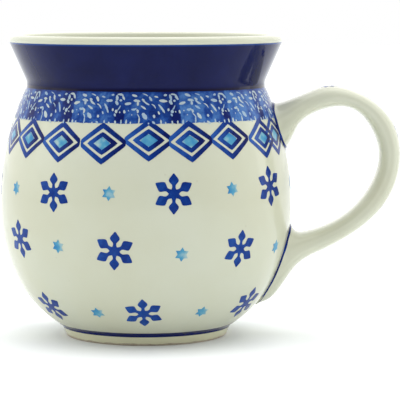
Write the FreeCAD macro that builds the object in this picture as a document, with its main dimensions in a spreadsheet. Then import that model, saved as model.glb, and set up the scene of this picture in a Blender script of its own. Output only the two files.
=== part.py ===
"""Polish stoneware mug: a round-bellied vessel with a flared collar and a luted-on strap handle.

Units are millimetres. +Z is up, +X runs towards the handle, and the origin is the centre of the
foot on the plane that the mug stands on.

Pieces: vessel, handle, upper_joint_slip and lower_joint_slip. The two slips are the thin pads of
clay that bond the handle's roots to the vessel.
"""

import FreeCAD, Part
import collections
import math
import os

import Sketcher

# Driving dimensions, in millimetres. Each becomes a cell of the sheet with the same alias.
SIZES = {
    # outside of the vessel
    "mug_height": 105.0,
    "rim_radius": 48.4,  # where the collar's cone meets the plane of the rim, before the lip is rounded
    "neck_level": 88.0,
    "belly_radius": 50.8,
    "belly_level": 45.5,
    "shoulder_arc": 96.0,  # profile radius from the belly up to the neck
    "flank_arc": 57.5,  # profile radius just below the belly
    "flank_end_level": 20.5,
    "base_arc": 39.0,  # profile radius that turns in to the foot
    "foot_height": 3.8,
    "foot_radius": 28.0,
    # walls and edges
    "wall": 4.0,
    "floor_level": 8.5,
    "foot_ring_width": 4.4,
    "recess_depth": 3.0,
    "lip_round": 1.6,
    "neck_round": 4.0,
    "inner_neck_round": 8.0,
    "floor_round": 9.0,
    "foot_round": 0.7,
    "foot_inner_round": 0.5,
    # the clay that bonds the handle on
    "slip_thickness": 0.4,
    "joint_split_level": 52.0,
}

# The handle's stations, from the upper root round to the lower one. Each gives the outermost and
# the innermost point of the strap in the plane of the handle, as (x, z), and the strap's width.
# The first and last stations are buried in the vessel's wall.
HANDLE_STATIONS = [
    ("upper_anchor", (41.5, 79.4), (44.0, 63.4), 21.0),
    ("upper_root", (46.0, 80.9), (49.6, 67.2), 20.0),
    ("upper_flare", (54.7, 84.2), (53.4, 73.9), 16.6),
    ("crown", (66.6, 87.0), (67.1, 80.0), 14.6),
    ("upper_bend", (82.6, 79.1), (77.3, 74.5), 14.6),
    ("outer_bend", (88.8, 63.0), (81.5, 63.0), 14.8),
    ("lower_bend", (84.6, 47.8), (78.3, 51.9), 14.8),
    ("arm", (72.6, 35.9), (68.9, 41.6), 14.6),
    ("lower_flare", (59.9, 29.0), (57.6, 36.5), 15.6),
    ("lower_root", (51.6, 23.2), (52.4, 36.2), 18.4),
    ("tongue", (44.6, 13.7), (49.3, 38.6), 19.0),
    ("lower_anchor", (36.5, 11.8), (42.5, 40.4), 17.0),
]
STRAP_SQUARENESS = 2.6  # exponent of the strap's section: 2 is an ellipse, more is squarer
SECTION_POINTS = 20

MATCH = 0.01  # how closely an edge's radius and level have to agree with the wanted ones
NODES = ("vessel", "handle", "upper_joint_slip", "lower_joint_slip")

Arc = collections.namedtuple("Arc", "centre radius")
Belly = collections.namedtuple("Belly", "base turn flank widest shoulder neck")


def make_sheet(doc):
    """The spreadsheet that holds every driving dimension."""
    sheet = doc.addObject("Spreadsheet::Sheet", "Sizes")
    cells = dict(SIZES)
    for name, outer, inner, width in HANDLE_STATIONS:
        cells[name + "_outer_x"], cells[name + "_outer_z"] = outer
        cells[name + "_inner_x"], cells[name + "_inner_z"] = inner
        cells[name + "_width"] = width
    for row, (alias, value) in enumerate(cells.items(), start=1):
        sheet.set(f"A{row}", alias)
        sheet.set(f"B{row}", str(value))
        sheet.setAlias(f"B{row}", alias)
    doc.recompute()
    return sheet


def new_body(doc, label):
    body = doc.addObject("PartDesign::Body", label)
    body.Label = label
    return body


def new_sketch(body, name):
    """A sketch on the body's own XZ plane, so that sketch X is radius and sketch Y is height."""
    sketch = body.newObject("Sketcher::SketchObject", name)
    plane = next(f for f in body.Origin.OriginFeatures if f.Role == "XZ_Plane")
    sketch.AttachmentSupport = [(plane, "")]
    sketch.MapMode = "FlatFace"
    return sketch


def bind(sketch, constraint, expression):
    """Adds a constraint and ties its value to the sheet."""
    index = sketch.addConstraint(constraint)
    name = f"size_{index}"
    sketch.renameConstraint(index, name)
    sketch.setExpression(f"Constraints.{name}", expression)


def pin(sketch, geo, end, value_x=None, value_y=None):
    """Sets a point's radius and height from the sheet; each is (present value, expression)."""
    if value_x:
        bind(sketch, Sketcher.Constraint("DistanceX", -1, 1, geo, end, value_x[0]), value_x[1])
    if value_y:
        bind(sketch, Sketcher.Constraint("DistanceY", -1, 1, geo, end, value_y[0]), value_y[1])


def arc_between(arc, start, end):
    """The run of an arc from one point up to another, counter-clockwise."""
    angles = [math.atan2(p[1] - arc.centre[1], p[0] - arc.centre[0]) for p in (start, end)]
    circle = Part.Circle(FreeCAD.Vector(*arc.centre, 0), FreeCAD.Vector(0, 0, 1), arc.radius)
    return Part.ArcOfCircle(circle, *angles)


def point_at(arc, level):
    """Where the outward side of an arc crosses a level, as (radius from the axis, level)."""
    rise = level - arc.centre[1]
    return arc.centre[0] + math.sqrt(arc.radius**2 - rise**2), level


def segment(start, end):
    return Part.LineSegment(FreeCAD.Vector(*start, 0), FreeCAD.Vector(*end, 0))


def belly_profile(sheet, grow):
    """The belly's three arcs and the points between them, all moved outwards by grow.

    From the foot up they are the base arc, the turn, the flank arc, the widest point, the shoulder
    arc and the neck. The flank is tangent to the base at the turn and to the shoulder at the widest.
    """
    middle = sheet.belly_level
    widest = (sheet.belly_radius + grow, middle)
    shoulder_radius = sheet.shoulder_arc + grow
    shoulder = Arc((widest[0] - shoulder_radius, middle), shoulder_radius)
    flank_radius = sheet.flank_arc + grow
    flank = Arc((widest[0] - flank_radius, middle), flank_radius)
    drop = (middle - sheet.flank_end_level) * flank_radius / sheet.flank_arc
    turn = point_at(flank, middle - drop)
    base_radius = sheet.base_arc + grow
    share = base_radius / flank_radius
    base_centre = tuple(at + (centre - at) * share for at, centre in zip(turn, flank.centre))
    neck = point_at(shoulder, sheet.neck_level)
    return Belly(Arc(base_centre, base_radius), turn, flank, widest, shoulder, neck)


def draw_belly(sketch, belly, first, bottom, grow_text):
    """Draws base, flank and shoulder arcs as geometry first, first + 1 and first + 2.

    bottom is (present height, expression) of the lower end, and grow_text is what the expressions of
    radii add for a profile that is moved outwards.
    """
    sketch.addGeometry(arc_between(belly.base, point_at(belly.base, bottom[0]), belly.turn), False)
    sketch.addGeometry(arc_between(belly.flank, belly.turn, belly.widest), False)
    sketch.addGeometry(arc_between(belly.shoulder, belly.widest, belly.neck), False)
    low, mid, high = first, first + 1, first + 2
    sketch.addConstraint(Sketcher.Constraint("Tangent", low, 2, mid, 1))
    sketch.addConstraint(Sketcher.Constraint("Coincident", mid, 2, high, 1))
    for geo, arc, alias in ((mid, belly.flank, "flank_arc"), (high, belly.shoulder, "shoulder_arc")):
        pin(sketch, geo, 3, None, (arc.centre[1], "Sizes.belly_level"))
        bind(sketch, Sketcher.Constraint("Radius", geo, arc.radius), f"Sizes.{alias}{grow_text}")
    bind(sketch, Sketcher.Constraint("Radius", low, belly.base.radius), f"Sizes.base_arc{grow_text}")
    radius_text = f"Sizes.belly_radius{grow_text}"
    pin(sketch, mid, 2, (belly.widest[0], radius_text), (belly.widest[1], "Sizes.belly_level"))
    flank_text = f"(Sizes.flank_arc{grow_text}) / Sizes.flank_arc"
    drop_text = f"(Sizes.belly_level - Sizes.flank_end_level) * {flank_text}"
    pin(sketch, low, 2, None, (belly.turn[1], f"Sizes.belly_level - {drop_text}"))
    pin(sketch, low, 1, None, bottom)
    pin(sketch, high, 2, None, (belly.neck[1], "Sizes.neck_level"))


def close_up(sketch, count):
    """Joins each piece of geometry to the next, all the way round, where no arc already does."""
    joined = {(c.First, c.Second) for c in sketch.Constraints if c.Type in ("Tangent", "Coincident")}
    for geo in range(count):
        following = (geo + 1) % count
        if (geo, following) not in joined:
            sketch.addConstraint(Sketcher.Constraint("Coincident", geo, 2, following, 1))


def outer_sketch(body, sheet, grow=0.0, grow_text=""):
    """Half of the vessel's outline: foot, belly, collar and the flat top, closed on the axis."""
    sketch = new_sketch(body, body.Label + "_outline")
    top = sheet.mug_height
    foot = (sheet.foot_radius, 0.0)
    rim = (sheet.rim_radius, top)
    belly = belly_profile(sheet, grow)
    sketch.addGeometry(segment((0, 0), foot), False)
    sketch.addGeometry(segment(foot, point_at(belly.base, sheet.foot_height)), False)
    draw_belly(sketch, belly, 2, (sheet.foot_height, "Sizes.foot_height"), grow_text)
    sketch.addGeometry(segment(belly.neck, rim), False)
    sketch.addGeometry(segment(rim, (0, top)), False)
    sketch.addGeometry(segment((0, top), (0, 0)), False)
    close_up(sketch, 8)
    sketch.addConstraint(Sketcher.Constraint("Coincident", 0, 1, -1, 1))
    sketch.addConstraint(Sketcher.Constraint("Horizontal", 0))
    sketch.addConstraint(Sketcher.Constraint("Horizontal", 6))
    sketch.addConstraint(Sketcher.Constraint("Vertical", 7))
    pin(sketch, 0, 2, (foot[0], "Sizes.foot_radius"))
    pin(sketch, 5, 2, (rim[0], "Sizes.rim_radius"), (top, "Sizes.mug_height"))
    return sketch


def inner_sketch(body, sheet):
    """Half of the inside: flat floor, belly offset inwards by the wall, and the collar's inside."""
    sketch = new_sketch(body, "inside_outline")
    top = sheet.mug_height
    floor = sheet.floor_level
    mouth = (sheet.rim_radius - sheet.wall, top)
    belly = belly_profile(sheet, -sheet.wall)
    sketch.addGeometry(segment((0, floor), point_at(belly.base, floor)), False)
    draw_belly(sketch, belly, 1, (floor, "Sizes.floor_level"), " - Sizes.wall")
    sketch.addGeometry(segment(belly.neck, mouth), False)
    sketch.addGeometry(segment(mouth, (0, top)), False)
    sketch.addGeometry(segment((0, top), (0, floor)), False)
    close_up(sketch, 7)
    sketch.addConstraint(Sketcher.Constraint("PointOnObject", 0, 1, -2))
    sketch.addConstraint(Sketcher.Constraint("Horizontal", 0))
    sketch.addConstraint(Sketcher.Constraint("Horizontal", 5))
    sketch.addConstraint(Sketcher.Constraint("Vertical", 6))
    pin(sketch, 4, 2, (mouth[0], "Sizes.rim_radius - Sizes.wall"), (top, "Sizes.mug_height"))
    return sketch


def recess_sketch(body, sheet):
    """Half of the shallow hollow under the vessel that leaves the foot as a ring."""
    sketch = new_sketch(body, "recess_outline")
    radius = sheet.foot_radius - sheet.foot_ring_width
    depth = sheet.recess_depth
    corners = [(0, 0), (radius, 0), (radius, depth), (0, depth)]
    for start, end in zip(corners, corners[1:] + corners[:1]):
        sketch.addGeometry(segment(start, end), False)
    close_up(sketch, 4)
    sketch.addConstraint(Sketcher.Constraint("Coincident", 0, 1, -1, 1))
    for geo, kind in enumerate(("Horizontal", "Vertical", "Horizontal", "Vertical")):
        sketch.addConstraint(Sketcher.Constraint(kind, geo))
    radius_text = "Sizes.foot_radius - Sizes.foot_ring_width"
    pin(sketch, 1, 2, (radius, radius_text), (depth, "Sizes.recess_depth"))
    return sketch


def turn_profile(body, kind, name, sketch):
    """Turns a sketch right round the vessel's axis, to add material or to take it away."""
    feature = body.newObject(kind, name)
    feature.Profile = sketch
    feature.ReferenceAxis = (sketch, ["V_Axis"])
    feature.Angle = 360.0
    body.Document.recompute()
    return feature


def round_edge(body, name, radius, level, alias):
    """Rounds the circular edge of this radius at this level."""
    tip = body.Tip
    names = []
    for number, edge in enumerate(tip.Shape.Edges, start=1):
        curve = edge.Curve
        if not isinstance(curve, Part.Circle):
            continue
        if abs(curve.Radius - radius) < MATCH and abs(curve.Center.z - level) < MATCH:
            names.append(f"Edge{number}")
    if not names:
        raise RuntimeError(f"{name}: no edge of radius {radius:.3f} at level {level:.3f}")
    fillet = body.newObject("PartDesign::Fillet", name)
    fillet.Base = (tip, names)
    fillet.setExpression("Radius", f"Sizes.{alias}")
    body.Document.recompute()
    return fillet


def make_vessel(doc, sheet):
    """The thrown vessel: outside turned, inside and foot recess cut, then every edge softened."""
    body = new_body(doc, "vessel")
    turn_profile(body, "PartDesign::Revolution", "outside", outer_sketch(body, sheet))
    turn_profile(body, "PartDesign::Groove", "inside", inner_sketch(body, sheet))
    turn_profile(body, "PartDesign::Groove", "foot_recess", recess_sketch(body, sheet))
    inner = belly_profile(sheet, -sheet.wall)
    round_edge(body, "neck_rounding", *belly_profile(sheet, 0.0).neck, "neck_round")
    round_edge(body, "inner_neck_rounding", *inner.neck, "inner_neck_round")
    round_edge(body, "floor_rounding", *point_at(inner.base, sheet.floor_level), "floor_round")
    round_edge(body, "lip_outer_rounding", sheet.rim_radius, sheet.mug_height, "lip_round")
    round_edge(body, "lip_inner_rounding", sheet.rim_radius - sheet.wall, sheet.mug_height, "lip_round")
    round_edge(body, "foot_rounding", sheet.foot_radius, 0.0, "foot_round")
    ring_inside = sheet.foot_radius - sheet.foot_ring_width
    round_edge(body, "foot_inner_rounding", ring_inside, 0.0, "foot_inner_round")
    return body


def make_form(doc, sheet, label, grow=0.0, grow_text=""):
    """The vessel's outside as one solid form, which the handle and its slip are fitted to."""
    body = new_body(doc, label)
    sketch = outer_sketch(body, sheet, grow, grow_text)
    turn_profile(body, "PartDesign::Revolution", label + "_turned", sketch)
    return body


def strap_section(sheet, name):
    """One closed section of the strap, through its outermost and innermost points."""
    outer = FreeCAD.Vector(sheet.get(name + "_outer_x"), 0, sheet.get(name + "_outer_z"))
    inner = FreeCAD.Vector(sheet.get(name + "_inner_x"), 0, sheet.get(name + "_inner_z"))
    centre = (outer + inner) * 0.5
    across = (outer - inner) * 0.5
    sideways = FreeCAD.Vector(0, sheet.get(name + "_width") / 2, 0)
    power = 2 / STRAP_SQUARENESS
    points = []
    for step in range(SECTION_POINTS):
        angle = 2 * math.pi * step / SECTION_POINTS
        radial = math.copysign(abs(math.cos(angle)) ** power, math.cos(angle))
        lateral = math.copysign(abs(math.sin(angle)) ** power, math.sin(angle))
        points.append(centre + across * radial + sideways * lateral)
    curve = Part.BSplineCurve()
    curve.interpolate(Points=points, PeriodicFlag=True)
    return Part.Wire(curve.toShape())


def make_handle_blank(doc, sheet):
    """The strap as it is before it is fitted to the vessel, with both ends running into the wall."""
    blank = doc.addObject("Part::Feature", "handle_blank")
    sections = [strap_section(sheet, station[0]) for station in HANDLE_STATIONS]
    blank.Shape = Part.makeLoft(sections, True, False)
    return blank


def boolean(doc, kind, label, base, tool):
    result = doc.addObject(kind, label)
    result.Label = label
    result.Base = base
    result.Tool = tool
    return result


def half_space(doc, label, low, height):
    """A box round the whole mug between two levels, each given as an expression of the sheet."""
    box = doc.addObject("Part::Box", label)
    for side in ("Length", "Width"):
        box.setExpression(side, "4 * Sizes.belly_radius")
    box.setExpression("Height", height)
    box.setExpression("Placement.Base.x", "-2 * Sizes.belly_radius")
    box.setExpression("Placement.Base.y", "-2 * Sizes.belly_radius")
    box.setExpression("Placement.Base.z", low)
    return box


def make_handle_and_slips(doc, sheet):
    """Fits the strap to the vessel, with a layer of slip between them at each root."""
    blank = make_handle_blank(doc, sheet)
    form = make_form(doc, sheet, "vessel_form")
    coated = make_form(doc, sheet, "slipped_form", sheet.slip_thickness, " + Sizes.slip_thickness")
    layer = boolean(doc, "Part::Cut", "slip_layer", coated, form)
    joints = boolean(doc, "Part::Common", "joint_slips", blank, layer)
    above = half_space(doc, "upper_half", "Sizes.joint_split_level", "Sizes.mug_height")
    lower = "Sizes.joint_split_level - Sizes.mug_height"
    below = half_space(doc, "lower_half", lower, "Sizes.mug_height")
    boolean(doc, "Part::Cut", "handle", blank, coated)
    boolean(doc, "Part::Common", "upper_joint_slip", joints, above)
    boolean(doc, "Part::Common", "lower_joint_slip", joints, below)
    doc.recompute()


def check(doc):
    """Stops if any object failed, or if a node isn't exactly one valid solid."""
    for item in doc.Objects:
        if {"Invalid", "Error"} & set(item.State):
            raise RuntimeError(f"{item.Label} did not compute: {item.State}")
    for label in NODES:
        shape = doc.getObjectsByLabel(label)[0].Shape
        if shape.isNull() or not shape.isValid() or len(shape.Solids) != 1:
            raise RuntimeError(f"{label} is not one valid solid: {len(shape.Solids)} solids")


def main():
    doc = FreeCAD.newDocument("stoneware_mug")
    sheet = make_sheet(doc)
    make_vessel(doc, sheet)
    make_handle_and_slips(doc, sheet)
    doc.recompute()
    check(doc)
    os.makedirs("parts", exist_ok=True)
    for label in NODES:
        shape = doc.getObjectsByLabel(label)[0].Shape
        shape.exportStep(f"parts/{label}.step")
        print(f"{label}: {shape.Volume / 1000:.2f} cm3")


main()
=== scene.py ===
"""Looks of the Polish stoneware mug, built round its CAD frame.

Shapes are worked out in millimetres and written to the meshes in metres. The vessel's axis is +Z,
the handle lies along +X, and angles round the vessel are measured from the front (-Y) towards +X.
"""
import math
import random

import bpy
import numpy as np
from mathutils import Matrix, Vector, noise
from mathutils.geometry import delaunay_2d_cdt


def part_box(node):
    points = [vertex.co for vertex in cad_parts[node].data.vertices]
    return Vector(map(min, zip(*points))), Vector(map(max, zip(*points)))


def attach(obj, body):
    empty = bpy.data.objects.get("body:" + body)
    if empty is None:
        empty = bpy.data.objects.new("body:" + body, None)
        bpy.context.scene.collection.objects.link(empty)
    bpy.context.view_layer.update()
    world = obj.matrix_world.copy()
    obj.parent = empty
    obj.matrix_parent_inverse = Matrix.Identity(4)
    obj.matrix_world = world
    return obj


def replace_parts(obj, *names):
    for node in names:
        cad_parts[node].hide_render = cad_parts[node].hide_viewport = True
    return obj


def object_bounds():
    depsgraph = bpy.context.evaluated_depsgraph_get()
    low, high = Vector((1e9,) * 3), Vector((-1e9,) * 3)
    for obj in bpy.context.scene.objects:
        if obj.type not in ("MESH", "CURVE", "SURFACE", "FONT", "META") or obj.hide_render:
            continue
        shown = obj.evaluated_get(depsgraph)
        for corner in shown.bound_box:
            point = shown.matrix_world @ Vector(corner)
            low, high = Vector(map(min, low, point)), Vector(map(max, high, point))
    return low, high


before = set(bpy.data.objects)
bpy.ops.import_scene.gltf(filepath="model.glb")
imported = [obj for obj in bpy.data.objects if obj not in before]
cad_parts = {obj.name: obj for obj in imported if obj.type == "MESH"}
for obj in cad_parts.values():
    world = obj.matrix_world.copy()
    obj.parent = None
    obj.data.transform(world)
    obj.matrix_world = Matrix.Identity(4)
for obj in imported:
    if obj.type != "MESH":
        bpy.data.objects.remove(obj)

CAD_BOX = [list(corner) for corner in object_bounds()]
MM = 0.001
VESSEL_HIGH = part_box("vessel")[1] / MM

# The vessel's profile, as the CAD has it
HEIGHT = VESSEL_HIGH.z
BELLY_RADIUS = VESSEL_HIGH.x
BELLY_LEVEL = 45.5
NECK_LEVEL = 88.0
RIM_RADIUS = 48.4
SHOULDER_ARC = 96.0
FLANK_ARC = 57.5
FLANK_END_LEVEL = 20.5
BASE_ARC = 39.0
FOOT_HEIGHT = 3.8
FOOT_RADIUS = 28.0
FOOT_RING_WIDTH = 4.4
RECESS_DEPTH = 3.0
WALL = 4.0
FLOOR_LEVEL = 8.5
RECESS_SLOPE = 1.0
# Where the section turns a corner, in vessel_line's order
CORNER_RADII = [1.5, 0.5, 0.7, 0.7, 4.0, 1.6, 1.6, 8.0, 9.0]

# The strap handle: outermost and innermost point of each station in the XZ plane, and its width
HANDLE_STATIONS = [
    ((41.5, 79.4), (44.0, 63.4), 21.0),
    ((46.0, 80.9), (49.6, 67.2), 20.0),
    ((54.7, 84.2), (53.4, 73.9), 16.6),
    ((66.6, 87.0), (67.1, 80.0), 14.6),
    ((82.6, 79.1), (77.3, 74.5), 14.6),
    ((88.8, 63.0), (81.5, 63.0), 14.8),
    ((84.6, 47.8), (78.3, 51.9), 14.8),
    ((72.6, 35.9), (68.9, 41.6), 14.6),
    ((59.9, 29.0), (57.6, 36.5), 15.6),
    ((51.6, 23.2), (52.4, 36.2), 18.4),
    ((44.6, 13.7), (49.3, 38.6), 19.0),
    ((36.5, 11.8), (42.5, 40.4), 17.0),
]
STRAP_SQUARENESS = 2.6

# Levels of the painted bands
COLLAR_LOW, COLLAR_HIGH = 86.9, 102.5
SPONGE_LOW, SPONGE_HIGH = 76.7, 87.4
LOZENGE_LEVEL = 70.8
FOOT_LINE_LOW, FOOT_LINE_HIGH = 3.15, 4.75

# Sponge prints overlap a little all the way round
SPONGE_PRINTS = 15
SPONGE_PHASE = -7.7
PRINT_WIDTH = 18.2

# Half width and half height of a lozenge's centre, and of its ring and outer band inside and outside
LOZENGE_CENTRE = (3.1, 2.25)
LOZENGE_RING = ((3.0, 2.2), (5.5, 4.0))
LOZENGE_BAND = ((6.9, 5.05), (9.15, 7.2))
LOZENGE_REACH = 7.3  # no lozenge is cut off nearer its centre than this

STAR_REACH = 2.5

# How far the top of each layer of colour stands off the surface, and how thick a layer is
COLLAR_LIFT = 0.10
SPONGE_LIFT = 0.05
FLECK_LIFT = 0.08
OUTLINE_LIFT = 0.07
CENTRE_LIFT = 0.06
MOTIF_LIFT = 0.06
LINE_LIFT = 0.07
HANDLE_MOTIF_LIFT = 0.05
LOZENGE_STAGGER = 0.015  # every second lozenge lies this much over its neighbours
DECAL_DEPTH = 0.12

rng = random.Random(7)


# ---------------------------------------------------------------- profile of the vessel

def belly_arcs(grow):
    """Neck point and the base, flank and shoulder arcs as (centre, radius), moved out by grow."""
    widest = BELLY_RADIUS + grow
    shoulder_r = SHOULDER_ARC + grow
    shoulder_x = widest - shoulder_r
    neck = (shoulder_x + math.sqrt(shoulder_r**2 - (NECK_LEVEL - BELLY_LEVEL) ** 2), NECK_LEVEL)
    flank_r = FLANK_ARC + grow
    flank_x = widest - flank_r
    drop = (BELLY_LEVEL - FLANK_END_LEVEL) * flank_r / FLANK_ARC
    turn = (flank_x + math.sqrt(flank_r**2 - drop**2), BELLY_LEVEL - drop)
    base_r = BASE_ARC + grow
    share = base_r / flank_r
    base = (turn[0] - (turn[0] - flank_x) * share, turn[1] + drop * share)
    return neck, (base, base_r), ((flank_x, BELLY_LEVEL), flank_r), ((shoulder_x, BELLY_LEVEL), shoulder_r)


def belly_line(grow, bottom, step=0.4):
    """Points up the belly from a level to the neck."""
    neck, base, flank, shoulder = belly_arcs(grow)
    levels = np.arange(bottom, NECK_LEVEL, step).tolist() + [NECK_LEVEL]
    turn = BELLY_LEVEL - (BELLY_LEVEL - FLANK_END_LEVEL) * flank[1] / FLANK_ARC
    points = []
    for level in levels:
        centre, radius = base if level < turn else flank if level < BELLY_LEVEL else shoulder
        points.append((centre[0] + math.sqrt(radius**2 - (level - centre[1]) ** 2), level))
    return points


def straight(start, end, step=0.4):
    """Evenly spaced points from one point to another."""
    count = max(2, round(math.dist(start, end) / step))
    return [tuple(np.array(start) + (np.array(end) - start) * i / count) for i in range(count + 1)]


def trim(points, length):
    """Takes this length off the end of a run of points."""
    points = list(points)
    while len(points) > 2 and math.dist(points[-1], points[-2]) <= length:
        length -= math.dist(points[-1], points[-2])
        points.pop()
    a, b = np.array(points[-2]), np.array(points[-1])
    points[-1] = tuple(b + (a - b) * min(0.95, length / math.dist(a, b)))
    return points


def rounded(runs, radii):
    """Joins runs of points, rounding the corner after each run with its radius."""
    runs = [list(run) for run in runs]
    line = []
    for i, radius in enumerate(radii):
        corner = np.array(runs[i][-1])
        before = corner - np.array(runs[i][-2])
        after = np.array(runs[i + 1][1]) - corner
        before, after = before / np.linalg.norm(before), after / np.linalg.norm(after)
        turn = math.acos(max(-1.0, min(1.0, float(before @ after))))
        reach = radius * math.tan(turn / 2)
        runs[i] = trim(runs[i], reach)
        runs[i + 1] = trim(runs[i + 1][::-1], reach)[::-1]
        line += runs[i]
        lever = 4 / 3 * math.tan(turn / 4) * radius
        p0, p3 = np.array(runs[i][-1]), np.array(runs[i + 1][0])
        p1, p2 = p0 + before * lever, p3 - after * lever
        steps = max(4, round(radius * turn / 0.3))
        for k in range(1, steps):
            t = k / steps
            left = 1 - t
            line.append(tuple(left**3 * p0 + 3 * t * left**2 * p1 + 3 * t * t * left * p2 + t**3 * p3))
    return line + runs[-1]


def vessel_line():
    """The whole section, from the middle of the recess round the outside and lip to the floor."""
    ring_inside = FOOT_RADIUS - FOOT_RING_WIDTH
    outside = belly_line(0.0, FOOT_HEIGHT)
    inside = belly_line(-WALL, FLOOR_LEVEL)[::-1]
    recess = (ring_inside - RECESS_SLOPE, RECESS_DEPTH)
    mouth = (RIM_RADIUS - WALL, HEIGHT)
    runs = [
        straight((0, RECESS_DEPTH), recess),
        straight(recess, (ring_inside, 0)),
        straight((ring_inside, 0), (FOOT_RADIUS, 0)),
        straight((FOOT_RADIUS, 0), outside[0]),
        outside,
        straight(outside[-1], (RIM_RADIUS, HEIGHT)),
        straight((RIM_RADIUS, HEIGHT), mouth),
        straight(mouth, inside[0]),
        inside,
        straight(inside[-1], (0, FLOOR_LEVEL)),
    ]
    return rounded(runs, CORNER_RADII)


def thinned(points, longest, sharpest=math.radians(5)):
    """Drops points where the line is nearly straight."""
    kept = [points[0]]
    for i in range(1, len(points) - 1):
        a, b = np.array(points[i]) - kept[-1], np.array(points[i + 1]) - points[i]
        turn = abs(math.atan2(a[0] * b[1] - a[1] * b[0], a @ b))
        if np.linalg.norm(a) + np.linalg.norm(b) > longest or turn > sharpest:
            kept.append(points[i])
    return kept + [points[-1]]


LINE = vessel_line()
CREST = max(range(len(LINE)), key=lambda i: LINE[i][1])
OUTER = [p for i, p in enumerate(LINE[: CREST + 1]) if p[0] > FOOT_RADIUS - 1.5]
OUT_R = np.array([p[0] for p in OUTER])
OUT_Z = np.maximum.accumulate(np.array([p[1] for p in OUTER]))
OUT_S = np.concatenate([[0], np.cumsum(np.hypot(np.diff(OUT_R), np.diff(OUT_Z)))])


def along(level):
    """Distance up the outside, along its surface, at a level."""
    return float(np.interp(level, OUT_Z, OUT_S))


def outside_radius(distance):
    """The outside's radius at a distance up its surface."""
    return float(np.interp(distance, OUT_S, OUT_R))


def place(theta, distance, lift):
    """A point on the outside at an angle and a distance up the surface, lifted off it."""
    r, z = np.interp(distance, OUT_S, OUT_R), np.interp(distance, OUT_S, OUT_Z)
    ahead, behind = distance + 0.3, distance - 0.3
    dr = np.interp(ahead, OUT_S, OUT_R) - np.interp(behind, OUT_S, OUT_R)
    dz = np.interp(ahead, OUT_S, OUT_Z) - np.interp(behind, OUT_S, OUT_Z)
    size = math.hypot(dr, dz)
    r += lift * dz / size
    z -= lift * dr / size
    return (r * math.sin(theta), -r * math.cos(theta), z)


# ---------------------------------------------------------------- meshes

def make_object(name, points, faces, material, tones=None, sharp=()):
    """A mesh object from points in millimetres, riding on the mug."""
    mesh = bpy.data.meshes.new(name)
    mesh.from_pydata([tuple(c * MM for c in p) for p in points], [], faces)
    mesh.validate()
    mesh.polygons.foreach_set("use_smooth", [True] * len(mesh.polygons))
    if tones is not None:
        layer = mesh.attributes.new("tone", "FLOAT", "POINT")
        layer.data.foreach_set("value", tones)
    if sharp:
        sharp = {tuple(sorted(edge)) for edge in sharp}
        mesh.edges.foreach_set("use_edge_sharp", [tuple(sorted(e.vertices)) in sharp for e in mesh.edges])
    mesh.materials.append(material)
    mesh.update()
    piece = bpy.data.objects.new(name, mesh)
    bpy.context.scene.collection.objects.link(piece)
    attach(piece, "root")
    return piece


def vessel_mesh(material, segments=288):
    """The whole clay body turned about its axis, as one closed mesh."""
    line = thinned(LINE, 1.5)
    points = [(0, 0, line[0][1]), (0, 0, line[-1][1])]
    rows = []
    for radius, level in line[1:-1]:
        rows.append(len(points))
        for k in range(segments):
            turn = 2 * math.pi * k / segments
            points.append((radius * math.sin(turn), -radius * math.cos(turn), level))
    faces = []
    for k in range(segments):
        following = (k + 1) % segments
        faces.append((0, rows[0] + following, rows[0] + k))
        faces.append((1, rows[-1] + k, rows[-1] + following))
        for low, high in zip(rows, rows[1:]):
            faces.append((low + k, low + following, high + following, high + k))
    piece = make_object("vessel_clay_and_glaze", points, faces, material)
    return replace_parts(piece, "vessel")


class Decal:
    """A thin closed layer of colour lying on a surface; where(u, v, lift) gives its points."""

    def __init__(self, name, lift):
        self.name, self.lift = name, lift
        self.top, self.bottom, self.tones, self.faces = [], [], [], []

    def add(self, shape, where, tone=0.5, slope=0.0, blotch=0.12):
        """Lays down one shape, (points, faces), darker or lighter across it by slope."""
        points, faces = shape
        base = len(self.top)
        seed = Vector((base * 0.37, 1.7, 0))
        for u, v in points:
            mottle = noise.noise(Vector((u * 0.55, v * 0.55, 0)) + seed)
            self.top.append(where(u, v, self.lift))
            self.bottom.append(where(u, v, self.lift - DECAL_DEPTH))
            self.tones.append(max(0.0, min(1.0, tone + slope * u + blotch * mottle * 2)))
        self.faces += [tuple(base + i for i in face) for face in faces]

    def build(self, material, slot="decorated_glaze"):
        """Closes the layer round its rims, where only one face uses an edge."""
        count = len(self.top)
        edges = dict.fromkeys(edge for face in self.faces for edge in zip(face, face[1:] + face[:1]))
        rim = [(a, b) for a, b in edges if (b, a) not in edges]
        faces = list(self.faces)
        faces += [tuple(count + i for i in reversed(face)) for face in self.faces]
        faces += [(b, a, count + a, count + b) for a, b in rim]
        return make_object(
            self.name, self.top + self.bottom, faces, material, self.tones * 2, sharp=rim
        )


def on_vessel(theta_deg, level, tilt_deg=0.0, scale=1.0, over=0.0):
    """Lays a flat shape, u to the right and v up in millimetres, on the vessel's outside.

    over lifts it above others of the same layer that it crosses.
    """
    theta, distance = math.radians(theta_deg), along(level)
    c, s = math.cos(math.radians(tilt_deg)) * scale, math.sin(math.radians(tilt_deg)) * scale

    def where(u, v, lift):
        up = distance + s * u + c * v
        return place(theta + (c * u - s * v) / outside_radius(up), up, lift + over)

    return where


# ---------------------------------------------------------------- flat shapes

def inside_outline(u, v, outline):
    """Whether a point lies inside a closed outline."""
    hit = False
    for (x0, y0), (x1, y1) in zip(outline, outline[1:] + outline[:1]):
        if (y0 > v) != (y1 > v) and u < (x1 - x0) * (v - y0) / (y1 - y0) + x0:
            hit = not hit
    return hit


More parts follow.
